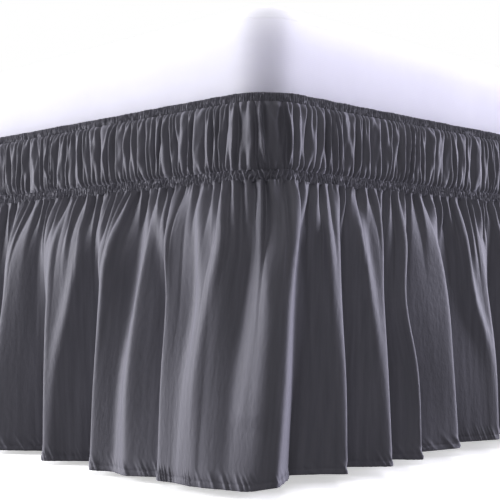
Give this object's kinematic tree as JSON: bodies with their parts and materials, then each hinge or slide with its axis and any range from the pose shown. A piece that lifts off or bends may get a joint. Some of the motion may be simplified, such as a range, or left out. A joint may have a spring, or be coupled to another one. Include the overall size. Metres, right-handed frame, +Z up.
{
  "type": "gathered bed skirt round a mattress and bed base",
  "caption": "Wrap-round bed skirt with two elastic headings, a gathered upper panel and a deep ruffle, on a plain mattress and bed base.",
  "frame": {"origin": "on the floor, under the middle of the bed", "axes": "+Y runs along the bed from the foot end to the head end, +X across it, +Z up"},
  "size_m": [1.1151, 2.0349, 0.508],
  "materials": {
    "skirt_cloth": "charcoal grey brushed microfibre with a soft satin sheen",
    "elastic_heading": "the same cloth, finely puckered over elastic",
    "mattress_cloth": "plain white cotton",
    "base_cloth": "plain grey upholstery cloth",
    "foot_wood": "stained wood, satin"
  },
  "bodies": {
    "root": {"top_heading": "elastic_heading", "upper_panel": "skirt_cloth", "middle_heading": "elastic_heading", "lower_ruffle": "skirt_cloth", "mattress": "mattress_cloth", "bed_base": "base_cloth", "foot_1a": "foot_wood", "foot_1b": "foot_wood", "foot_2a": "foot_wood", "foot_2b": "foot_wood", "foot_3a": "foot_wood", "foot_3b": "foot_wood"}
  },
  "joints": []
}
